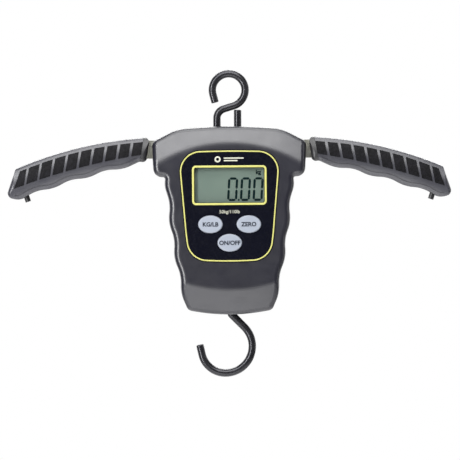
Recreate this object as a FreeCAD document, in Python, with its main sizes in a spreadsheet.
import FreeCAD, Part
import math
import os

# Digital fish scale with two fold-out handles, hanging from its top eye.
# Frame: millimetres, +Z up, the display faces -Y, origin at the centre of the top eye.

V = FreeCAD.Vector
doc = FreeCAD.newDocument("fish_scale")
sheet = doc.addObject("Spreadsheet::Sheet", "dims")

DIMENSIONS = {
    # casing outline, seen from the front
    "shell_depth": 16.0, "wall": 2.2, "seam_deep": 0.3, "seam_half": 0.3, "rim_radius": 3.8,
    "blend_radius": 14.0,
    "casing_top": -23.1, "brow_x": 34.2, "brow_z": -25.3, "shoulder_x": 50.0, "shoulder_z": -33.6,
    "shoulder_foot_x": 49.2, "shoulder_foot_z": -56.3, "armpit_x": 41.7,
    "corner_x": 27.3, "corner_z": -143.1, "casing_bottom": -147.97,
    # finger waves: the side is a shallow parabola plus a wave
    "side_mid_x": 37.05, "side_mid_z": -97.0, "side_slope": 0.1437, "side_bow": 0.00101,
    "wave_height": 1.4, "wave_pitch": 23.1, "first_wave_z": -62.5,
    # sloping bands above and below the flat face, each a cone about a Y axis
    "arch_z": -125.0, "arch_radius": 90.2, "arch_slope": 19.0, "arch_reach": 114.0,
    "keel_z": -33.0, "keel_radius": 96.0, "keel_slope": 17.0, "keel_reach": 125.0,
    # front panel, display and board
    "panel_sink": 0.6, "panel_thickness": 1.0, "display_z": -62.1, "window_wide": 44.9,
    "window_high": 22.4, "window_thickness": 0.9, "glass_wide": 49.0, "glass_high": 27.0,
    "glass_front": 13.6, "glass_thickness": 2.7, "board_front": 9.0, "board_thickness": 1.6,
    "board_wide": 57.0, "board_top": -47.0, "board_bottom": -107.0, "post_x": 26.6,
    "post_top_z": -50.0, "post_bottom_z": -104.0, "post_radius": 1.9, "board_screw_radius": 1.0,
    # buttons
    "button_wide": 15.8, "button_high": 11.4, "button_proud": 1.2, "button_gap": 0.3,
    "button_flange": 1.2, "flange_front": 13.6, "flange_thickness": 1.0, "stem_radius": 2.0,
    "stem_long": 0.4, "button_x": 12.45, "upper_button_z": -87.4, "lower_button_z": -99.4,
    "switch_side": 6.0, "switch_high": 1.9, "plunger_radius": 1.5, "plunger_long": 0.4,
    # wire eye and hook
    "wire_radius": 2.5, "eye_radius": 10.66, "eye_tail_angle": 195.0, "eye_tail": 5.6,
    "eye_leave_angle": -73.0, "neck_radius": 6.5, "left_leg_x": -7.8, "right_leg_x": 5.65,
    "right_leg_top": -12.9, "bend_z": -33.5, "wire_hole_radius": 2.75, "hook_hole_radius": 5.8,
    "hook_centre_x": -3.3, "hook_line_sum": -145.15, "hook_radius": 17.5, "hook_centre_z": -166.6,
    "hook_return_radius": 15.6, "hook_tail_angle": 193.0, "hook_tail": 6.6, "hook_neck_radius": 5.0,
    "hook_top": -120.6, "tip_round": 0.8,
    # load frame
    "plate_gap": 4.0, "plate_thickness": 1.8, "stem_half": 12.5, "stem_bottom": -101.0, "plate_ear": 5.4,
    "pivot_x": 41.37, "pivot_z": -45.42, "hinge_radius": 2.5, "rivet_head_radius": 4.0,
    "rivet_head": 1.1, "running_gap": 0.06, "cross_pin_radius": 4.0, "cross_pin_x": -1.075,
    "stop_back": 8.0, "stop_drop": 6.8, "stop_radius": 2.5,
    "cell_half": 14.0, "cell_top": -90.0, "cell_bottom": -130.0, "cell_slit": 1.4,
    "cell_slit_top": -105.0, "cell_slit_bottom": -117.5, "cell_web": 5.0, "cell_bore_radius": 3.2,
    "cell_bore_x": 5.0, "cell_rivet_x": 8.0, "cell_rivet_z": -97.0, "cell_rivet_radius": 2.0,
    "nut_window_half": 5.5, "nut_window_top": -120.3, "nut_window_bottom": -126.6,
    "nut_high": 4.0, "washer_high": 0.8,
    # handles, drawn unfolded
    "fold_angle": 83.0, "nest_gap": 0.6, "handle_half": 10.0, "handle_wall": 2.4,
    "handle_rim": 2.8, "handle_face": 4.2, "handle_in_x": 51.5, "handle_in_top": -30.3,
    "handle_in_foot_x": 54.1, "handle_in_foot_z": -46.9, "tip_top_x": 138.6, "tip_top_z": -49.95,
    "tip_foot_x": 145.0, "tip_foot_z": -68.5, "sweep_x": 40.9, "sweep_z": -279.8,
    "sweep_radius": 249.4, "sweep_spare": 0.4, "crown_radius": 20.0, "crown_tilt": 27.0,
    "crown_edge": 3.2, "crown_foot": 17.0, "collar_x": 54.2, "collar_wide": 5.2,
    "pad_count": 10, "pad_first_x": 59.6, "pad_pitch": 8.42, "pad_wide": 6.3, "pad_lean": 10.0,
    "pad_foot_z": -42.2, "pad_foot_slope": 0.162, "pad_foot_bend": 0.00133,
    "groove_in": 2.3, "groove_wide": 0.7, "groove_deep": 0.4,
    "pad_margin": 3.5, "pad_raise": 0.5, "pad_gap": 0.1, "pad_proud": 0.6, "grip_sheet": 1.4,
    "tang_half": 2.5, "tang_radius": 6.0, "heel_radius": 4.0, "slot_half": 2.9,
    "peg_radius": 1.85, "peg_x": 132.1, "peg_z": -68.1, "peg_lean": 198.0, "peg_out": 3.9,
    "peg_in": 6.0, "socket_radius": 2.7, "tang_pin_radius": 1.5, "tang_pin_half": 5.6,
    # case screws
    "boss_radius": 4.0, "screw_radius": 1.4, "screw_head_radius": 2.6, "screw_head_seat": 9.0,
    "screw_head": 2.0, "screw_tip": 9.5,
    # batteries and door
    "cell_radius": 5.2, "battery_x": 20.5, "battery_y": 8.2, "battery_top": -67.0,
    "battery_long": 44.5, "door_wide": 54.0, "door_top": -65.0, "door_bottom": -113.0,
    "door_gap": 0.4, "door_thickness": 1.5, "ledge": 2.0, "roll_radius": 1.3, "roll_gap": 0.3,
    "stub_radius": 0.8, "stub_long": 1.2,
}


def fill_sheet():
    """One row per dimension: its name, and its value under an alias."""
    for row, (alias, value) in enumerate(DIMENSIONS.items(), start=1):
        sheet.set(f"A{row}", alias)
        sheet.set(f"B{row}", str(value))
        sheet.setAlias(f"B{row}", alias)
    doc.recompute()


def size(alias):
    return float(sheet.get(alias))


# ---------------------------------------------------------------- drawing aids

def rounded(corners):
    """A closed outline of tangent lines and arcs from (x, z, radius) corners.

    A corner with no radius is rounded over half of its shorter side."""
    points = [V(x, z, 0) for x, z, _ in corners]
    arcs = []
    for index, (_, _, radius) in enumerate(corners):
        here = points[index]
        back = points[index - 1] - here
        ahead = points[(index + 1) % len(points)] - here
        reach = 0.5 * min(back.Length, ahead.Length)
        back.normalize()
        ahead.normalize()
        half = back.getAngle(ahead) / 2
        if radius is None:
            radius = reach * math.tan(half)
        else:
            reach = radius / math.tan(half)
        inward = back + ahead
        inward.normalize()
        middle = here + inward * (radius / math.sin(half) - radius)
        arcs.append((here + back * reach, middle, here + ahead * reach))
    geometry = []
    for index, (start, middle, end) in enumerate(arcs):
        geometry.append(Part.Arc(start, middle, end))
        following = arcs[(index + 1) % len(arcs)][0]
        if (following - end).Length > 1e-6:
            geometry.append(Part.LineSegment(end, following))
    return geometry


def mirrored_corners(right):
    """The same corners on the left side, in drawing order."""
    return [(-x, z, radius) for x, z, radius in reversed(right)]


def inset(geometry, distance):
    """The outline moved inward by a distance."""
    wire = Part.Wire([item.toShape() for item in geometry])
    moved = Part.Face(wire).makeOffset2D(-distance)
    result = []
    for edge in moved.Edges:
        first, last = edge.FirstParameter, edge.LastParameter
        if isinstance(edge.Curve, Part.Line):
            result.append(Part.LineSegment(edge.valueAt(first), edge.valueAt(last)))
        else:
            result.append(Part.Arc(edge.valueAt(first), edge.valueAt((first + last) / 2), edge.valueAt(last)))
    return result


def rectangle(x, z, wide, high, radius):
    half_wide, half_high = wide / 2, high / 2
    return rounded([(x + half_wide, z + half_high, radius), (x + half_wide, z - half_high, radius),
                    (x - half_wide, z - half_high, radius), (x - half_wide, z + half_high, radius)])


def polygon(points):
    loop = [V(x, z, 0) for x, z in points]
    return [Part.LineSegment(a, b) for a, b in zip(loop, loop[1:] + loop[:1])]


def side_of_casing(z):
    """Half-width of the casing's side without its waves."""
    down = z - size("side_mid_z")
    return size("side_mid_x") + size("side_slope") * down - size("side_bow") * down * down


def wave_corners(count, gap=0.0):
    """Crests and hollows of the finger waves as corners, from the top down."""
    corners = []
    for index in range(count):
        z = size("first_wave_z") - index * size("wave_pitch") / 2
        swing = size("wave_height") * (-1) ** index
        corners.append((side_of_casing(z) + swing + gap, z, None))
    return corners


def turned(x, z, degrees):
    """A point turned about the right handle's pivot; positive folds the handle down."""
    angle = math.radians(degrees)
    out, up = x - size("pivot_x"), z - size("pivot_z")
    return (size("pivot_x") + out * math.cos(angle) + up * math.sin(angle),
            size("pivot_z") - out * math.sin(angle) + up * math.cos(angle))


# ---------------------------------------------------------------- FreeCAD aids

def bind(item, **expressions):
    for name, expression in expressions.items():
        item.setExpression(name.replace("__", "."), expression)
    return item


def sketch_on(body, name, role, geometry, offset=None, construction=()):
    """A sketch on one of the body's own origin planes."""
    sketch = body.newObject("Sketcher::SketchObject", name)
    plane = next(item for item in body.Origin.OriginFeatures if item.Role == role)
    sketch.AttachmentSupport = [(plane, "")]
    sketch.MapMode = "FlatFace"
    sketch.addGeometry(list(geometry), False)
    if construction:
        sketch.addGeometry(list(construction), True)
    if offset:
        bind(sketch, AttachmentOffset__Base__z=offset)
    return sketch


def new_body(name):
    return doc.addObject("PartDesign::Body", name)


def pad(body, name, geometry, start, depth):
    """Pads a front-view outline towards -Y, from a distance in front of the parting plane."""
    sketch = sketch_on(body, f"{name}_outline", "XZ_Plane", geometry, start)
    feature = body.newObject("PartDesign::Pad", name)
    feature.Profile = sketch
    bind(feature, Length=depth)
    return feature


def prism(name, geometry, start, depth):
    body = new_body(name)
    pad(body, f"{name}_pad", geometry, start, depth)
    return body


def block(name, wide, deep, high, x, y, z):
    """A box centred on a point. Every argument is an expression."""
    item = doc.addObject("Part::Box", name)
    bind(item, Length=wide, Width=deep, Height=high)
    bind(item, Placement__Base__x=f"{x} - ({wide}) / 2", Placement__Base__y=f"{y} - ({deep}) / 2",
         Placement__Base__z=f"{z} - ({high}) / 2")
    return item


TURNS = {"x": (V(0, 1, 0), 90), "y": (V(1, 0, 0), -90), "z": (V(0, 0, 1), 0)}


def rod(name, axis, radius, length, x, y, z):
    """A cylinder centred on a point. Radius, length and place are expressions."""
    item = doc.addObject("Part::Cylinder", name)
    item.Placement = FreeCAD.Placement(V(), FreeCAD.Rotation(*TURNS[axis]))
    place = {"x": x, "y": y, "z": z}
    place[axis] = f"{place[axis]} - ({length}) / 2"
    bind(item, Radius=radius, Height=length)
    bind(item, Placement__Base__x=place["x"], Placement__Base__y=place["y"],
         Placement__Base__z=place["z"])
    return item


def cut(name, base, tool):
    item = doc.addObject("Part::Cut", name)
    item.Base = base
    item.Tool = tool
    return item


def fuse(name, *items):
    if len(items) == 1:
        return items[0]
    item = doc.addObject("Part::MultiFuse", name)
    item.Shapes = list(items)
    return item


def common(name, *items):
    item = doc.addObject("Part::MultiCommon", name)
    item.Shapes = list(items)
    return item


def group(name, *items):
    """Separate solids that share a node."""
    item = doc.addObject("Part::Compound", name)
    item.Links = list(items)
    return item


def mirrored(name, source):
    """The left-hand twin of a right-hand piece."""
    item = doc.addObject("Part::Mirroring", name)
    item.Source = source
    item.Normal = V(1, 0, 0)
    return item


def edge_names(shape, test):
    return [f"Edge{index}" for index, edge in enumerate(shape.Edges, start=1) if test(edge)]


def middle_of(edge):
    return edge.valueAt((edge.FirstParameter + edge.LastParameter) / 2)


def dress(body, kind, name, base, edges, **sizes):
    """A Fillet or Chamfer on named edges of the base feature."""
    feature = body.newObject(f"PartDesign::{kind}", name)
    feature.Base = (base, edges)
    bind(feature, **sizes)
    return feature


def rim_edges(shape, outline_shape, sign):
    """The edges that run round the outer rim of a pad, away from the parting plane."""
    outline_edges = outline_shape.Edges

    def on_rim(edge):
        box = edge.BoundBox
        nearest = min(sign * box.YMin, sign * box.YMax)
        if nearest < 1 or box.XLength + box.ZLength < 0.01:
            return False
        middle = middle_of(edge)
        flat = Part.Vertex(V(middle.x, 0, middle.z))
        return any(item.distToShape(flat)[0] < 0.02 for item in outline_edges)

    return edge_names(shape, on_rim)


# ---------------------------------------------------------------- casing

def casing_outline():
    right = [
        (size("brow_x"), size("brow_z"), 30),
        (size("shoulder_x"), size("shoulder_z"), 4.6),
        (size("shoulder_foot_x"), size("shoulder_foot_z"), 5.4),
        (size("armpit_x"), size("shoulder_foot_z"), 1.6),
    ]
    right += wave_corners(7)
    right.append((size("corner_x"), size("corner_z"), 4.6))
    top = (0, size("casing_top"), 330)
    bottom = (0, size("casing_bottom"), 128)
    return rounded([top] + right + [bottom] + mirrored_corners(right))


def slope_band(body, name, sign, depth, centre_z, radius, reach, slope, upward):
    """Grooves away the face outside a circle, so that it slopes back as a cone."""
    up = 1 if upward else -1
    fall = (reach - radius) * math.tan(math.radians(slope))
    beyond = 6
    profile = polygon([
        (sign * depth, centre_z + up * radius),
        (sign * (depth - fall), centre_z + up * reach),
        (sign * (depth + beyond), centre_z + up * reach),
        (sign * (depth + beyond), centre_z + up * radius),
    ])
    axis = [Part.LineSegment(V(-40, centre_z, 0), V(40, centre_z, 0))]
    sketch = sketch_on(body, f"{name}_profile", "YZ_Plane", profile, construction=axis)
    feature = body.newObject("PartDesign::Groove", name)
    feature.Profile = sketch
    feature.ReferenceAxis = (sketch, ["Axis0"])
    feature.Angle = 180
    feature.Midplane = True
    return feature


def casing_half(name, sign, wall):
    """Half of the casing's volume, on the -Y side (sign -1) or the +Y side, inset by a wall."""
    body = new_body(name)
    geometry = casing_outline()
    if wall:
        geometry = inset(geometry, wall)
    depth = size("shell_depth") - wall
    feature = pad(body, f"{name}_pad", geometry, "0", f"dims.shell_depth - {wall}")
    feature.Reversed = sign > 0
    arch = size("arch_radius") - wall * math.tan(math.radians(size("arch_slope") / 2))
    keel = size("keel_radius") - wall * math.tan(math.radians(size("keel_slope") / 2))
    slope_band(body, f"{name}_brow", sign, depth, size("arch_z"), arch, size("arch_reach"),
               size("arch_slope"), True)
    slope = slope_band(body, f"{name}_keel", sign, depth, size("keel_z"), keel, size("keel_reach"),
                       size("keel_slope"), False)
    doc.recompute()
    if not wall:
        edges = edge_names(slope.Shape, lambda edge: is_circle(edge, arch) or is_circle(edge, keel))
        blend = dress(body, "Fillet", f"{name}_blend", slope, edges, Radius="dims.blend_radius")
        doc.recompute()
        rim = rim_edges(blend.Shape, feature.Profile[0].Shape, sign)
        dress(body, "Fillet", f"{name}_rim", blend, rim, Radius="dims.rim_radius")
    return body


def seam(name, geometry, sign):
    """The shallow groove that runs round the outside of one half, at the parting plane."""
    start = "0" if sign < 0 else "-dims.seam_half"
    whole = prism(f"{name}_whole", geometry, start, "dims.seam_half")
    core = prism(f"{name}_core", inset(geometry, size("seam_deep")), start, "dims.seam_half")
    return cut(name, whole, core)


def is_circle(edge, radius):
    return isinstance(edge.Curve, Part.Circle) and abs(edge.Curve.Radius - radius) < 0.01


CASE_SCREWS = [(22.0, -31.5), (33.0, -74.0), (17.0, -137.5)]


def case_screw_places():
    return [(side * x, z) for x, z in CASE_SCREWS for side in (1, -1)]


def rods_at(name, places, radius, length, y):
    return [rod(f"{name}_{index}", "y", radius, length, f"({x})", y, f"({z})")
            for index, (x, z) in enumerate(places, start=1)]


def shared_openings(name):
    """What both halves of the casing leave open along the parting plane."""
    legs = [rod(f"{name}_{leg}", "z", "dims.wire_hole_radius", "12", f"dims.{leg}_leg_x", "0",
                "dims.casing_top - 2") for leg in ("left", "right")]
    hook = rod(f"{name}_hook", "z", "dims.hook_hole_radius", "10", "0", "0", "dims.casing_bottom + 2")
    slots = []
    sockets = []
    for side, word in ((1, "right"), (-1, "left")):
        slots.append(block(f"{name}_slot_{word}", "11", "2 * dims.slot_half", "26.9",
                           f"{side} * 46.5", "0", "-45.75"))
        x, z = turned(size("peg_x"), size("peg_z"), size("fold_angle"))
        lean = math.radians(size("peg_lean") + size("fold_angle"))
        socket = doc.addObject("Part::Cylinder", f"{name}_socket_{word}")
        bind(socket, Radius="dims.socket_radius", Height="dims.peg_out + 3")
        direction = V(side * math.sin(lean), 0, math.cos(lean))
        start = V(side * x, 0, z) - direction * 2
        socket.Placement = FreeCAD.Placement(start, FreeCAD.Rotation(V(0, 0, 1), direction))
        sockets.append(socket)
    return legs + [hook] + slots + sockets


def panel_outline():
    right = [(33.8, -39.6, 14), (29.2, -93.5, 60), (27.0, -111.2, 14)]
    return rounded([(0, -38.85, 600)] + right + [(0, -112.4, 250)] + mirrored_corners(right))


def ellipse(wide, high):
    return [Part.Ellipse(V(0, 0, 0), wide / 2, high / 2)]


BUTTONS = {
    "unit_button": ("-dims.button_x", "dims.upper_button_z"),
    "zero_button": ("dims.button_x", "dims.upper_button_z"),
    "power_button": ("0", "dims.lower_button_z"),
}


def button_holes(name, start, depth):
    holes = []
    for button, (x, z) in BUTTONS.items():
        geometry = ellipse(size("button_wide") + 2 * size("button_gap"),
                           size("button_high") + 2 * size("button_gap"))
        hole = prism(f"{name}_{button}", geometry, start, depth)
        bind(hole, Placement__Base__x=x, Placement__Base__z=z)
        holes.append(hole)
    return holes


def front_shell():
    skin = casing_half("front_skin", -1, 0)
    cavity = casing_half("front_cavity", -1, size("wall"))
    bosses = rods_at("front_boss", case_screw_places(), "dims.boss_radius", "14", "-7")
    posts = rods_at("board_post", board_screw_places(), "dims.post_radius",
                    "14 - dims.board_front", "-(14 + dims.board_front) / 2")
    hollow = cut("front_hollow", cavity, fuse("front_bosses", *bosses, *posts))
    pilots = rods_at("front_pilot", case_screw_places(), "dims.screw_radius", "11", "-4.5")
    pilots += rods_at("post_pilot", board_screw_places(), "dims.board_screw_radius", "4.5", "-10.25")
    recess = prism("panel_recess", panel_outline(), "dims.shell_depth - dims.panel_sink", "2")
    opening = prism("display_opening", rectangle(0, size("display_z"), size("window_wide"),
                                                 size("window_high"), 1.2), "12", "6")
    tools = pilots + [recess, opening] + button_holes("front_hole", "12", "6")
    tools += shared_openings("front_open") + [seam("front_seam", casing_outline(), -1)]
    return cut("front_shell", cut("front_walls", skin, hollow), fuse("front_tools", *tools))


def rear_shell():
    skin = casing_half("rear_skin", 1, 0)
    cavity = casing_half("rear_cavity", 1, size("wall"))
    bosses = rods_at("rear_boss", case_screw_places(), "dims.boss_radius", "14", "7")
    ribs = []
    for x in ("-dims.battery_x", "dims.battery_x"):
        for end, z in (("top", "dims.battery_top + 3.2"),
                       ("foot", "dims.battery_top - dims.battery_long - 2.6")):
            ribs.append(block(f"battery_rib_{end}_{len(ribs)}", "12", "11", "1.2", x, "9", z))
    hollow = cut("rear_hollow", cavity, fuse("rear_bosses", *bosses, *ribs))
    holes = rods_at("rear_hole", case_screw_places(), "dims.screw_radius + 0.2", "12", "5")
    sinks = rods_at("rear_sink", case_screw_places(), "dims.screw_head_radius + 0.3", "10",
                    "dims.screw_head_seat + 5")
    middle = (size("door_top") + size("door_bottom")) / 2
    high = size("door_top") - size("door_bottom")
    gap = size("door_gap")
    recess = prism("door_recess", rectangle(0, middle, size("door_wide") + 2 * gap, high + 2 * gap, 3),
                   "-(dims.shell_depth + 1)", "dims.door_thickness + 1 + 0.05")
    half, top, foot = size("door_wide") / 2 - size("ledge"), size("door_top"), size("door_bottom")
    opening = prism("door_opening", rounded([(half, top - size("ledge"), 2), (half, foot - gap, 0.4),
                                             (-half, foot - gap, 0.4), (-half, top - size("ledge"), 2)]),
                    "-(dims.shell_depth + 1)", "6")
    channel = door_line("door_channel", "dims.roll_radius + dims.roll_gap",
                        "dims.door_wide + 2 * dims.door_gap")
    stub_holes = door_line("door_stub_holes", "dims.stub_radius + dims.running_gap",
                           "dims.door_wide + 2 * dims.stub_long + 0.8")
    tools = holes + sinks + [recess, opening, channel, stub_holes] + shared_openings("rear_open")
    tools.append(seam("rear_seam", casing_outline(), 1))
    return cut("rear_shell", cut("rear_walls", skin, hollow), fuse("rear_tools", *tools))


def screw(name, x, z, seat, head, tip, radius, head_radius):
    """A pan-head screw along Y: its head starts at the seat and stands towards +Y."""
    top = rod(f"{name}_head", "y", head_radius, head, x, f"{seat} + ({head}) / 2", z)
    shank = rod(f"{name}_shank", "y", radius, f"{seat} - ({tip})", x, f"({seat} + ({tip})) / 2", z)
    body = fuse(f"{name}_blank", top, shank)
    deep = f"({head}) * 0.6"
    slots = [block(f"{name}_slot_{word}", wide, deep, high, x, f"{seat} + ({head}) * 0.71", z)
             for word, wide, high in (("across", f"{head_radius} * 1.3", f"{head_radius} * 0.3"),
                                      ("along", f"{head_radius} * 0.3", f"{head_radius} * 1.3"))]
    return cut(name, body, fuse(f"{name}_cross", *slots))


def case_screws():
    screws = [screw(f"case_screw_{index}", f"({x})", f"({z})", "dims.screw_head_seat",
                    "dims.screw_head", "-dims.screw_tip", "dims.screw_radius", "dims.screw_head_radius")
              for index, (x, z) in enumerate(case_screw_places(), start=1)]
    return group("case_screws", *screws)


# ---------------------------------------------------------------- display and board

def front_panel():
    plate = prism("panel_blank", inset(panel_outline(), 0.1), "dims.shell_depth - dims.panel_sink",
                  "dims.panel_thickness")
    window = prism("panel_window", rectangle(0, size("display_z"), size("window_wide"),
                                             size("window_high"), 1.2), "12", "6")
    return cut("front_panel", plate, fuse("panel_tools", window, *button_holes("panel_hole", "12", "6")))


def display_window():
    geometry = rectangle(0, size("display_z"), size("window_wide"), size("window_high"), 1.2)
    return prism("display_window", geometry, "dims.shell_depth - dims.panel_sink",
                 "dims.window_thickness")


def display_stack():
    """The liquid-crystal glass, its backlight and the two rubber contact strips."""
    y_glass = "-(dims.glass_front - dims.glass_thickness / 2)"
    glass = block("lcd_glass", "dims.glass_wide", "dims.glass_thickness", "dims.glass_high", "0",
                  y_glass, "dims.display_z")
    gap = "(dims.glass_front - dims.glass_thickness - dims.board_front)"
    y_gap = f"-(dims.board_front + {gap} / 2)"
    light = block("backlight", "dims.glass_wide - 3", gap, "dims.glass_high - 6", "0", y_gap,
                  "dims.display_z")
    strips = [block(f"contact_strip_{word}", "dims.glass_wide - 3", gap, "2", "0", y_gap,
                    f"dims.display_z {sign} (dims.glass_high / 2 - 1.2)")
              for word, sign in (("top", "+"), ("foot", "-"))]
    return [glass, light, group("contact_strips", *strips)]


def board_screw_places():
    return [(side * size("post_x"), z) for z in (size("post_top_z"), size("post_bottom_z"))
            for side in (1, -1)]


def main_board():
    middle = "(dims.board_top + dims.board_bottom) / 2"
    blank = block("board_blank", "dims.board_wide", "dims.board_thickness",
                  "dims.board_top - dims.board_bottom", "0",
                  "-(dims.board_front - dims.board_thickness / 2)", middle)
    holes = rods_at("board_hole", board_screw_places(), "dims.board_screw_radius", "6", "-8")
    return cut("main_board", blank, fuse("board_holes", *holes))


def board_screws():
    screws = [screw(f"board_screw_{index}", f"({x})", f"({z})",
                    "-(dims.board_front - dims.board_thickness)", "1.1", "-12.3",
                    "dims.board_screw_radius", "1.9")
              for index, (x, z) in enumerate(board_screw_places(), start=1)]
    return group("board_screws", *screws)


def controller_chip():
    return block("controller_chip", "9", "1.4", "9", "-20", "-(dims.board_front - 2.3)", "-84")


def tact_switches():
    switches = []
    for button, (x, z) in BUTTONS.items():
        case = block(f"{button}_switch_case", "dims.switch_side", "dims.switch_high",
                     "dims.switch_side", x, "-(dims.board_front + dims.switch_high / 2)", z)
        plunger = rod(f"{button}_switch_plunger", "y", "dims.plunger_radius", "dims.plunger_long", x,
                      "-(dims.board_front + dims.switch_high + dims.plunger_long / 2)", z)
        switches.append(fuse(f"{button}_switch", case, plunger))
    return group("tact_switches", *switches)


def push_button(name, x, z):
    """A domed oval cap with a retaining flange and a short stem behind it."""
    body = new_body(name)
    wide, high, flange = size("button_wide"), size("button_high"), 2 * size("button_flange")
    cap = pad(body, f"{name}_cap", ellipse(wide, high), "dims.flange_front - dims.flange_thickness",
              "dims.shell_depth + dims.button_proud - dims.flange_front + dims.flange_thickness")
    doc.recompute()
    front = -(size("shell_depth") + size("button_proud"))
    edges = edge_names(cap.Shape, lambda edge: abs(edge.BoundBox.YMax - front) < 0.01)
    dress(body, "Fillet", f"{name}_dome", cap, edges, Radius="0.7")
    pad(body, f"{name}_flange", ellipse(wide + flange, high + flange),
        "dims.flange_front - dims.flange_thickness", "dims.flange_thickness")
    stem = [Part.Circle(V(0, 0, 0), V(0, 0, 1), size("stem_radius"))]
    pad(body, f"{name}_stem", stem, "dims.flange_front - dims.flange_thickness - dims.stem_long",
        "dims.stem_long")
    bind(body, Placement__Base__x=x, Placement__Base__z=z)
    return body


# ---------------------------------------------------------------- wire eye and hook

def wire(name, path, start_x, start_z):
    """Round wire swept along a flat path that starts vertically."""
    body = new_body(name)
    spine = sketch_on(body, f"{name}_path", "XZ_Plane", path)
    ring = [Part.Circle(V(0, 0, 0), V(0, 0, 1), size("wire_radius"))]
    section = sketch_on(body, f"{name}_section", "XY_Plane", ring, start_z)
    bind(section, AttachmentOffset__Base__x=start_x)
    sweep = body.newObject("PartDesign::AdditivePipe", f"{name}_sweep")
    sweep.Profile = section
    sweep.Spine = (spine, [])
    doc.recompute()
    faces = [face for face in sweep.Shape.Faces if isinstance(face.Surface, Part.Plane)]
    ends = edge_names(sweep.Shape, lambda edge: any(
        part.isSame(edge) for face in faces for part in face.Edges))
    dress(body, "Fillet", f"{name}_ends", sweep, ends, Radius="dims.tip_round")
    return body


def on_circle(x, z, radius, degrees):
    angle = math.radians(degrees)
    return V(x + radius * math.cos(angle), z + radius * math.sin(angle), 0)


def arc_on(x, z, radius, first, last):
    return Part.Arc(on_circle(x, z, radius, first), on_circle(x, z, radius, (first + last) / 2),
                    on_circle(x, z, radius, last))


def top_eye():
    """Short leg, bend under the cross pin, long leg, neck, loop and tail."""
    left, right, bend_z = size("left_leg_x"), size("right_leg_x"), size("bend_z")
    bend_radius = (right - left) / 2
    ring, leave, neck = size("eye_radius"), size("eye_leave_angle"), size("neck_radius")
    leaving = on_circle(0, 0, ring, leave)
    heading = math.radians(leave - 90)
    neck_x = left + neck
    entry_x = neck_x + neck * math.cos(math.radians(180 + leave))
    run = (entry_x - leaving.x) / math.cos(heading)
    entry = leaving + V(math.cos(heading), math.sin(heading), 0) * run
    neck_z = entry.y - neck * math.sin(math.radians(180 + leave))
    tail_start = on_circle(0, 0, ring, size("eye_tail_angle"))
    tail = math.radians(size("eye_tail_angle") + 90)
    tail_end = tail_start + V(math.cos(tail), math.sin(tail), 0) * size("eye_tail")
    path = [
        Part.LineSegment(V(right, size("right_leg_top"), 0), V(right, bend_z, 0)),
        arc_on((left + right) / 2, bend_z, bend_radius, 0, -180),
        Part.LineSegment(V(left, bend_z, 0), V(left, neck_z, 0)),
        arc_on(neck_x, neck_z, neck, 180, 180 + leave),
        Part.LineSegment(entry, leaving),
        arc_on(0, 0, ring, leave, size("eye_tail_angle")),
        Part.LineSegment(tail_start, tail_end),
    ]
    return wire("top_eye", path, "dims.right_leg_x", "dims.right_leg_top")


def lower_hook():
    """Straight shank on the swivel axis, a 45 degree kick and a round J."""
    neck, line_sum = size("hook_neck_radius"), size("hook_line_sum")
    slant = math.radians(45)
    reach = neck * math.tan(slant / 2)
    kick_end = V(reach * math.sin(slant), line_sum - reach * math.cos(slant), 0)
    x, z, radius = size("hook_centre_x"), size("hook_centre_z"), size("hook_radius")
    round_start = on_circle(x, z, radius, 45)
    small = size("hook_return_radius")
    small_z = z - radius + small
    turn = size("hook_tail_angle")
    tail_start = on_circle(x, small_z, small, turn)
    tail = math.radians(turn - 90)
    tail_end = tail_start + V(math.cos(tail), math.sin(tail), 0) * size("hook_tail")
    path = [
        Part.LineSegment(V(0, size("hook_top"), 0), V(0, line_sum + reach, 0)),
        arc_on(neck, line_sum + reach, neck, 180, 225),
        Part.LineSegment(kick_end, round_start),
        arc_on(x, z, radius, 45, -90),
        arc_on(x, small_z, small, 270, turn),
        Part.LineSegment(tail_start, tail_end),
    ]
    return wire("lower_hook", path, "0", "dims.hook_top")


def ring(name, outer, inner, high, z):
    hole = rod(f"{name}_hole", "z", inner, f"{high} + 2", "0", "0", z)
    return cut(name, rod(f"{name}_blank", "z", outer, high, "0", "0", z), hole)


def hook_washer():
    return ring("hook_washer", "3.9", "dims.wire_radius + 0.1", "dims.washer_high",
                "dims.nut_window_bottom + dims.washer_high / 2")


def hook_nut():
    return ring("hook_nut", "3.9", "dims.wire_radius", "dims.nut_high",
                "dims.nut_window_bottom + dims.washer_high + 0.1 + dims.nut_high / 2")


# ---------------------------------------------------------------- load frame

def plate_outline():
    pivot_x, pivot_z, ear = size("pivot_x"), size("pivot_z"), size("plate_ear")
    right = [
        (9.5, -27.2, 4), (12.5, -37.4, 4),
        (pivot_x + ear, pivot_z + ear, ear - 0.1), (pivot_x + ear, pivot_z - ear, ear - 0.1),
        (39.2, -53.3, 2), (38.5, -57.2, 2), (size("stem_half"), -57.2, 6),
        (size("stem_half"), size("stem_bottom"), 3),
    ]
    return rounded(right + mirrored_corners(right))


def pin_holes(name):
    """Holes that a load plate has for its pins and rivets."""
    holes = [rod(f"{name}_cross", "y", "dims.hinge_radius", "20", "dims.cross_pin_x", "0", "dims.bend_z")]
    for side, word in (("1", "right"), ("-1", "left")):
        holes.append(rod(f"{name}_hinge_{word}", "y", "dims.hinge_radius", "20",
                         f"{side} * dims.pivot_x", "0", "dims.pivot_z"))
        holes.append(rod(f"{name}_stop_{word}", "y", "dims.stop_radius - 0.5", "20",
                         f"{side} * (dims.pivot_x - dims.stop_back)", "0",
                         "dims.pivot_z - dims.stop_drop"))
        holes.append(rod(f"{name}_cell_{word}", "y", "dims.cell_rivet_radius", "20",
                         f"{side} * dims.cell_rivet_x", "0", "dims.cell_rivet_z"))
    return holes


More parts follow.
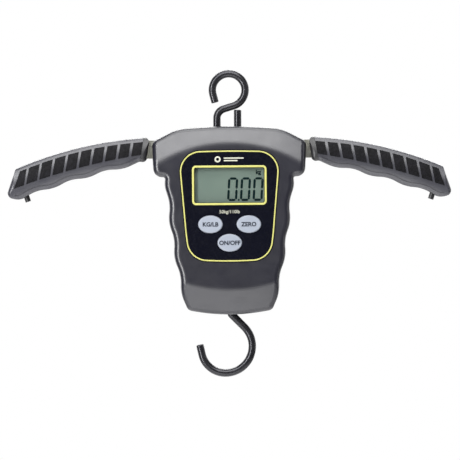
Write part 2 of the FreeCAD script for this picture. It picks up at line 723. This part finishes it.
def load_plate(name, start):
    blank = prism(f"{name}_blank", plate_outline(), start, "dims.plate_thickness")
    return cut(name, blank, fuse(f"{name}_holes", *pin_holes(name)))


def headed_pin(name, middle_radius, end_radius, x, z):
    """A pin along Y between the plates, reduced through them and headed outside."""
    outside = "2 * (dims.plate_gap + dims.plate_thickness)"
    middle = rod(f"{name}_middle", "y", middle_radius, "2 * dims.plate_gap", x, "0", z)
    ends = rod(f"{name}_ends", "y", end_radius, outside, x, "0", z)
    heads = [rod(f"{name}_head_{word}", "y", f"{end_radius} + 1.4", "dims.rivet_head", x,
                 f"{sign}(dims.plate_gap + dims.plate_thickness + dims.rivet_head / 2)", z)
             for word, sign in (("front", "-"), ("rear", ""))]
    return fuse(name, middle, ends, *heads)


def hinge_pin_right():
    return headed_pin("hinge_pin_right", "dims.hinge_radius", "dims.hinge_radius", "dims.pivot_x",
                      "dims.pivot_z")


def eye_cross_pin():
    return headed_pin("eye_cross_pin", "dims.cross_pin_radius", "dims.hinge_radius",
                      "dims.cross_pin_x", "dims.bend_z")


def stop_pins():
    pins = [headed_pin(f"stop_pin_{word}", "dims.stop_radius", "dims.stop_radius - 0.5",
                       f"{side} * (dims.pivot_x - dims.stop_back)", "dims.pivot_z - dims.stop_drop")
            for side, word in (("1", "right"), ("-1", "left"))]
    return group("stop_pins", *pins)


def cell_rivets():
    pins = [headed_pin(f"cell_rivet_{word}", "dims.cell_rivet_radius", "dims.cell_rivet_radius",
                       f"{side} * dims.cell_rivet_x", "dims.cell_rivet_z")
            for side, word in (("1", "right"), ("-1", "left"))]
    return group("cell_rivets", *pins)


def load_cell():
    """An S-shaped bar: two slits from opposite sides leave a bending web between them."""
    deep = "2 * dims.plate_gap"
    blank = block("cell_blank", "2 * dims.cell_half", deep, "dims.cell_top - dims.cell_bottom", "0",
                  "0", "(dims.cell_top + dims.cell_bottom) / 2")
    long = "2 * dims.cell_half - dims.cell_web"
    slits = [block(f"cell_slit_{word}", long, "20", "dims.cell_slit", f"{sign}dims.cell_web / 2", "0", z)
             for word, sign, z in (("upper", "", "dims.cell_slit_top"),
                                   ("lower", "-", "dims.cell_slit_bottom"))]
    middle = "(dims.cell_slit_top + dims.cell_slit_bottom) / 2"
    bores = [rod(f"cell_bore_{word}", "y", "dims.cell_bore_radius", "20",
                 f"{sign}dims.cell_bore_x", "0", middle) for word, sign in (("right", ""), ("left", "-"))]
    link = block("cell_link", "2 * dims.cell_bore_x", "20", "1.6", "0", "0", middle)
    window = block("cell_window", "2 * dims.nut_window_half", "20",
                   "dims.nut_window_top - dims.nut_window_bottom", "0", "0",
                   "(dims.nut_window_top + dims.nut_window_bottom) / 2")
    shank = rod("cell_shank_hole", "z", "dims.wire_radius + 0.1", "8", "0", "0", "dims.cell_bottom")
    rivets = [rod(f"cell_hole_{word}", "y", "dims.cell_rivet_radius", "20",
                  f"{sign}dims.cell_rivet_x", "0", "dims.cell_rivet_z")
              for word, sign in (("right", ""), ("left", "-"))]
    return cut("load_cell", blank, fuse("cell_cuts", *slits, *bores, link, window, shank, *rivets))


def strain_gauges():
    middle = "(dims.cell_slit_top + dims.cell_slit_bottom) / 2"
    gauges = [block(f"strain_gauge_{face}{side}", "4", "0.2", "1.6", f"{side}5",
                    f"{face}(dims.plate_gap + 0.1)", f"{middle} {level} 4.5")
              for face in ("-", "+") for side, level in (("-", "+"), ("+", "-"))]
    return group("strain_gauges", *gauges)


# ---------------------------------------------------------------- batteries and door

def batteries():
    """Two AAA cells side by side, turned end for end."""
    cells = []
    for word, side, nub in (("left", "-", 1), ("right", "", -1)):
        x = f"{side}dims.battery_x"
        middle = "dims.battery_top - dims.battery_long / 2"
        can = rod(f"battery_can_{word}", "z", "dims.cell_radius", "dims.battery_long - 1", x,
                  "dims.battery_y", f"{middle} - {nub} * 0.5")
        cap = rod(f"battery_nub_{word}", "z", "1.9", "1.2", x, "dims.battery_y",
                  f"{middle} + {nub} * (dims.battery_long - 1.2) / 2")
        cells.append(fuse(f"battery_{word}", can, cap))
    return group("batteries", *cells)


def battery_contacts():
    """A leaf at each end of each cell."""
    leaves = []
    for side in ("-", ""):
        for end, z in (("top", "dims.battery_top + 2.35"),
                       ("foot", "dims.battery_top - dims.battery_long - 1.75")):
            leaf = block(f"contact_{end}_{len(leaves)}", "9", "9", "0.5", f"{side}dims.battery_x",
                         "dims.battery_y", z)
            inward = "-" if end == "top" else "+"
            spring = doc.addObject("Part::Cone", f"contact_spring_{end}_{len(leaves)}")
            reach = "2.0" if end == "top" else "1.4"
            bind(spring, Radius1="3", Radius2="1.6", Height=reach)
            if end == "top":
                spring.Placement = FreeCAD.Placement(V(), FreeCAD.Rotation(V(1, 0, 0), 180))
            bind(spring, Placement__Base__x=f"{side}dims.battery_x", Placement__Base__y="dims.battery_y",
                 Placement__Base__z=f"{z} {inward} 0.2")
            leaves.append(fuse(f"contact_{end}_{len(leaves)}_pair", leaf, spring))
    return group("battery_contacts", *leaves)


def door_line(name, radius, length):
    """A rod of a given length about the line that the battery door turns on."""
    return rod(name, "x", radius, length, "0", "dims.shell_depth - dims.roll_radius",
               "dims.door_bottom + dims.roll_radius")


def battery_door():
    """A flat lid that turns on two stubs at the ends of a roll, with a nail notch above."""
    half, top = size("door_wide") / 2, size("door_top")
    foot = size("door_bottom") + size("roll_radius")
    lid = prism("door_lid", rounded([(half, top, 2.6), (half, foot, 0.2), (-half, foot, 0.2),
                                     (-half, top, 2.6)]), "-dims.shell_depth", "dims.door_thickness")
    half, top = half - size("ledge") - 0.4, top - size("ledge") - 0.4
    lip = prism("door_lip", rounded([(half, top, 1.6), (half, foot, 0.2), (-half, foot, 0.2),
                                     (-half, top, 1.6)]),
                "-(dims.shell_depth - dims.door_thickness)", "0.7")
    roll = door_line("door_roll", "dims.roll_radius", "dims.door_wide")
    stubs = door_line("door_stubs", "dims.stub_radius", "dims.door_wide + 2 * dims.stub_long")
    notch = rod("door_notch", "x", "1.4", "14", "0", "dims.shell_depth + 0.5", "dims.door_top - 4")
    ribs = [block(f"door_rib_{index}", "20", "0.6", "1.0", "0", "dims.shell_depth",
                  f"dims.door_top - 8 - {index} * 2.2") for index in range(3)]
    return cut("battery_door", fuse("door_blank", lid, lip, roll, stubs),
               fuse("door_marks", notch, *ribs))


# ---------------------------------------------------------------- handles

def handle_outline():
    """The right handle unfolded. Its underside is the casing's side, turned about the pivot."""
    sweep = size("sweep_radius") + size("sweep_spare")
    top = [(x, size("sweep_z") + math.sqrt(sweep ** 2 - (x - size("sweep_x")) ** 2), None)
           for x in (75.0, 96.0, 117.0)]
    under = [turned(x, z, -size("fold_angle")) for x, z, _ in wave_corners(8, size("nest_gap"))]
    under = [(x, z, None) for x, z in reversed(under)]
    first_crest = under.pop()
    return rounded(
        [(size("handle_in_x"), size("handle_in_top"), 3.0)] + top
        + [(size("tip_top_x"), size("tip_top_z"), 4), (size("tip_foot_x"), size("tip_foot_z"), 3.6)]
        + under + [(first_crest[0], first_crest[1], 4.4),
                   (size("handle_in_foot_x"), size("handle_in_foot_z"), 2.9)])


def pad_foot(x):
    """The height of the smooth line on which the pads end, above the finger waves."""
    along = x - size("pad_first_x")
    return size("pad_foot_z") - size("pad_foot_slope") * along - size("pad_foot_bend") * along ** 2


def pad_strips(name, extra):
    """Ten leaning strips in one sketch, extra wider on each side."""
    body = new_body(name)
    half = size("pad_wide") / 2 + extra
    lean = math.tan(math.radians(size("pad_lean")))
    geometry = []
    for index in range(int(size("pad_count"))):
        x = size("pad_first_x") + index * size("pad_pitch")
        z = -38.5 - 0.08 * (x - 60) - 0.0016 * (x - 60) ** 2
        rise = 16
        left_foot, right_foot = pad_foot(x - half) - extra, pad_foot(x + half) - extra
        geometry += polygon([(x - half - rise * lean, z + rise), (x + half - rise * lean, z + rise),
                             (x + half + (z - right_foot) * lean, right_foot),
                             (x - half + (z - left_foot) * lean, left_foot)])
    pad(body, f"{name}_pad", geometry, "-20", "40")
    return body


def handle_windows(name, extra):
    """The windows through the handle's faces, or the rubber that fills them."""
    zone = prism(f"{name}_zone", inset(handle_outline(), size("pad_margin") - extra), "-20", "40")
    bind(zone, Placement__Base__z="dims.pad_raise")
    return common(name, zone, pad_strips(f"{name}_strips", extra))


def wave_groove(name):
    """A shallow groove in the faces that follows the finger waves below the pads."""
    near, far = size("groove_in"), size("groove_in") + size("groove_wide")
    ring = cut(f"{name}_ring", prism(f"{name}_outer", inset(handle_outline(), near), "-20", "40"),
               prism(f"{name}_inner", inset(handle_outline(), far), "-20", "40"))
    first, last = 60.0, 139.0
    line = [(x, pad_foot(x) - 0.8) for x in (first, (first + last) / 2, last)]
    below = prism(f"{name}_below", polygon(line + [(last, -78.0), (first, -78.0)]), "-20", "40")
    return cut(name, common(f"{name}_low", ring, below), crown(f"{name}_crown", -size("groove_deep")))


TANG_PINS = [(62.0, -40.5), (73.0, -42.5)]


def handle_skin(name, sign):
    """The handle's rounded outer form: its front half (-1), its rear half (1) or all of it (0)."""
    body = new_body(name)
    feature = pad(body, f"{name}_pad", handle_outline(), "0", "dims.handle_half")
    feature.Reversed = sign > 0
    if sign == 0:
        feature.Midplane = True
        bind(feature, Length="2 * dims.handle_half")
    doc.recompute()
    edges = []
    for side in (sign,) if sign else (-1, 1):
        edges += rim_edges(feature.Shape, feature.Profile[0].Shape, side)
    dress(body, "Fillet", f"{name}_rim", feature, edges, Radius="dims.handle_rim")
    return body


def section_arc(side, y, z, radius, first, last):
    """An arc between two angles, on the -Y side (side -1) or the +Y side of a cross-section."""
    points = [V(side * (y + radius * math.cos(angle)), z + radius * math.sin(angle), 0)
              for angle in (first, (first + last) / 2, last)]
    return Part.Arc(*points)


def crown(name, grow):
    """A ring about the centre of the handle's sweep, whose section gives the faces their crown."""
    tilt, upright = math.radians(size("crown_tilt")), math.radians(90)
    radius, edge = size("crown_radius") + grow, size("crown_edge") + grow
    foot = -math.asin(size("crown_foot") / radius)
    face_y = size("handle_half") - size("crown_radius")
    edge_y = face_y + (radius - edge) * math.cos(tilt)
    top_z = size("sweep_z") + size("sweep_radius") + grow
    edge_z = top_z - edge
    face_z = edge_z - (radius - edge) * math.sin(tilt)
    foot_y, foot_z = face_y + radius * math.cos(foot), face_z + radius * math.sin(foot)
    geometry = [Part.LineSegment(V(-edge_y, top_z, 0), V(edge_y, top_z, 0)),
                Part.LineSegment(V(-foot_y, foot_z, 0), V(foot_y, foot_z, 0))]
    for side in (-1, 1):
        geometry.append(section_arc(side, edge_y, edge_z, edge, upright, tilt))
        geometry.append(section_arc(side, face_y, face_z, radius, tilt, foot))
    axis = [Part.LineSegment(V(-40, size("sweep_z"), 0), V(40, size("sweep_z"), 0))]
    body = new_body(name)
    sketch = sketch_on(body, f"{name}_section", "YZ_Plane", geometry, "dims.sweep_x", axis)
    feature = body.newObject("PartDesign::Revolution", f"{name}_ring")
    feature.Profile = sketch
    feature.ReferenceAxis = (sketch, ["Axis0"])
    return body


def tang_blank(name, grow):
    """The steel tang: a hub on the pivot, a heel for the stop and an arm into the handle."""
    pivot_x, pivot_z = "dims.pivot_x", "dims.pivot_z"
    deep = f"2 * (dims.tang_half + {grow})"
    hub = rod(f"{name}_hub", "y", "dims.tang_radius", deep, pivot_x, "0", pivot_z)
    heel = rod(f"{name}_heel", "y", "dims.heel_radius", deep, f"{pivot_x} - dims.stop_back", "0", pivot_z)
    bridge = block(f"{name}_bridge", "dims.stop_back", deep, "2 * dims.heel_radius",
                   f"{pivot_x} - dims.stop_back / 2", "0", pivot_z)
    arm_geometry = polygon([
        (size("pivot_x"), -39.5), (46.8, -32.6 + grow), (53.2, -32.6 + grow), (78.0 + grow, -38.6 + grow),
        (78.0 + grow, -46.6 - grow), (53.2, -44.3 - grow), (48.2, -44.3 - grow), (44.6, -50.4),
        (size("pivot_x"), -51.4)])
    arm = prism(f"{name}_arm", arm_geometry, f"-(dims.tang_half + {grow})", deep)
    return fuse(f"{name}_blank", hub, heel, bridge, arm)


def handle_tang_right():
    bore = rod("tang_bore", "y", "dims.hinge_radius + dims.running_gap", "20", "dims.pivot_x", "0",
               "dims.pivot_z")
    holes = fuse("tang_holes", bore, *rods_at("tang_hole", TANG_PINS, "dims.tang_pin_radius", "20", "0"))
    return cut("handle_tang_right", tang_blank("tang", 0), holes)


def peg_rod(name, radius, below, above):
    """A rod along the latch peg's axis, out of and into the underside of the handle."""
    lean = math.radians(size("peg_lean"))
    direction = V(math.sin(lean), 0, math.cos(lean))
    item = doc.addObject("Part::Cylinder", name)
    bind(item, Radius=radius, Height=f"{below} + {above}")
    start = V(size("peg_x"), 0, size("peg_z")) - direction * size(above.split(".")[1])
    item.Placement = FreeCAD.Placement(start, FreeCAD.Rotation(V(0, 0, 1), direction))
    return item


def handle_frame(name, sign):
    """One half of the handle's frame: a shell with ten windows in its face."""
    skin = common(f"{name}_crowned", handle_skin(f"{name}_skin", sign), crown(f"{name}_crown", 0))
    start = "0" if sign < 0 else "-(dims.handle_half - dims.handle_face)"
    cavity = prism(f"{name}_cavity", inset(handle_outline(), size("handle_wall")), start,
                   "dims.handle_half - dims.handle_face")
    windows = handle_windows(f"{name}_windows", size("pad_gap"))
    tang = tang_blank(f"{name}_tang", 0.05)
    peg = peg_rod(f"{name}_peg", "dims.peg_radius", "dims.peg_out", "dims.peg_in")
    collar = collar_zone(f"{name}_collar", size("pad_gap") / 2)
    gap = seam(f"{name}_seam", handle_outline(), sign)
    groove = wave_groove(f"{name}_groove")
    return cut(name, skin, fuse(f"{name}_tools", cavity, windows, tang, peg, collar, gap, groove))


def collar_zone(name, grow):
    """The leaning strip at the handle's inner end that the collar fills."""
    lean = math.tan(math.radians(size("pad_lean")))
    x, rise = size("collar_x"), 18
    left, right, z = x - 12, x + size("collar_wide") / 2 + grow, -38.5
    strip = polygon([(left - rise * lean, z + rise), (right - rise * lean, z + rise),
                     (right + rise * lean, z - rise), (left + rise * lean, z - rise)])
    return prism(name, strip, "-20", "40")


def handle_collar_right():
    """A black collar round the tang that closes the inner end of both frame halves."""
    whole = common("collar_whole", handle_skin("collar_skin", 0), crown("collar_crown", 0),
                   collar_zone("collar_strip", -size("pad_gap") / 2))
    return cut("handle_collar_right", whole, tang_blank("collar_tang", 0.05))


def handle_grip(name, sign):
    """A rubber sheet behind the windows with ten pads standing through them."""
    inner = "dims.handle_half - dims.handle_face - dims.grip_sheet"
    start = inner if sign < 0 else "-(dims.handle_half - dims.handle_face)"
    sheet_body = prism(f"{name}_sheet", inset(handle_outline(), size("handle_wall") + 0.05), start,
                       "dims.grip_sheet")
    pads = handle_windows(f"{name}_pads", 0)
    reach = "dims.handle_face + dims.pad_proud + 1"
    middle = f"{sign} * (dims.handle_half - dims.handle_face + ({reach}) / 2)"
    slab = block(f"{name}_slab", "120", reach, "80", "98", middle, "-50")
    proud = common(f"{name}_proud", pads, slab, crown(f"{name}_crown", size("pad_proud")))
    whole = fuse(f"{name}_whole", sheet_body, proud)
    pins = rods_at(f"{name}_pin", TANG_PINS, "dims.tang_pin_radius", "2 * dims.tang_pin_half", "0")
    return cut(name, whole, fuse(f"{name}_holes", collar_zone(f"{name}_end", size("pad_gap")), *pins))


def latch_peg_right():
    return peg_rod("latch_peg_right", "dims.peg_radius", "dims.peg_out", "dims.peg_in")


def tang_pins_right():
    """Two cross pins that hold the tang between the frame halves, under the rubber."""
    return group("tang_pins_right", *rods_at("tang_pin", TANG_PINS, "dims.tang_pin_radius",
                                             "2 * dims.tang_pin_half", "0"))


# ---------------------------------------------------------------- the whole scale

def build():
    fill_sheet()
    pieces = [front_shell(), rear_shell(), case_screws(), front_panel(), display_window()]
    pieces += display_stack()
    pieces += [main_board(), board_screws(), controller_chip(), tact_switches()]
    pieces += [push_button(name, x, z) for name, (x, z) in BUTTONS.items()]
    pieces += [top_eye(), lower_hook(), hook_washer(), hook_nut()]
    pieces += [load_plate("load_plate_front", "dims.plate_gap"),
               load_plate("load_plate_rear", "-(dims.plate_gap + dims.plate_thickness)")]
    pieces += [eye_cross_pin(), stop_pins(), cell_rivets(), load_cell(), strain_gauges()]
    pieces += [batteries(), battery_contacts(), battery_door()]
    right = [hinge_pin_right(), handle_tang_right(), handle_frame("handle_frame_front_right", -1),
             handle_frame("handle_frame_rear_right", 1), handle_grip("handle_grip_front_right", -1),
             handle_grip("handle_grip_rear_right", 1), handle_collar_right(), latch_peg_right(),
             tang_pins_right()]
    left = [mirrored(piece.Name.replace("right", "left"), piece) for piece in right]
    doc.recompute()
    return pieces + right + left


def write(pieces):
    """Checks every object, then writes one STEP file for each piece."""
    broken = [item.Name for item in doc.Objects if {"Invalid", "Error"} & set(item.State)]
    broken += [piece.Label for piece in pieces if piece.Shape.isNull() or not piece.Shape.isValid()]
    if broken:
        raise RuntimeError(f"these objects did not build: {broken}")
    os.makedirs("parts", exist_ok=True)
    for piece in pieces:
        piece.Shape.exportStep(f"parts/{piece.Label}.step")
        print(f"{piece.Label:28s} {len(piece.Shape.Solids):2d} solids {piece.Shape.Volume:10.1f} mm3")


write(build())
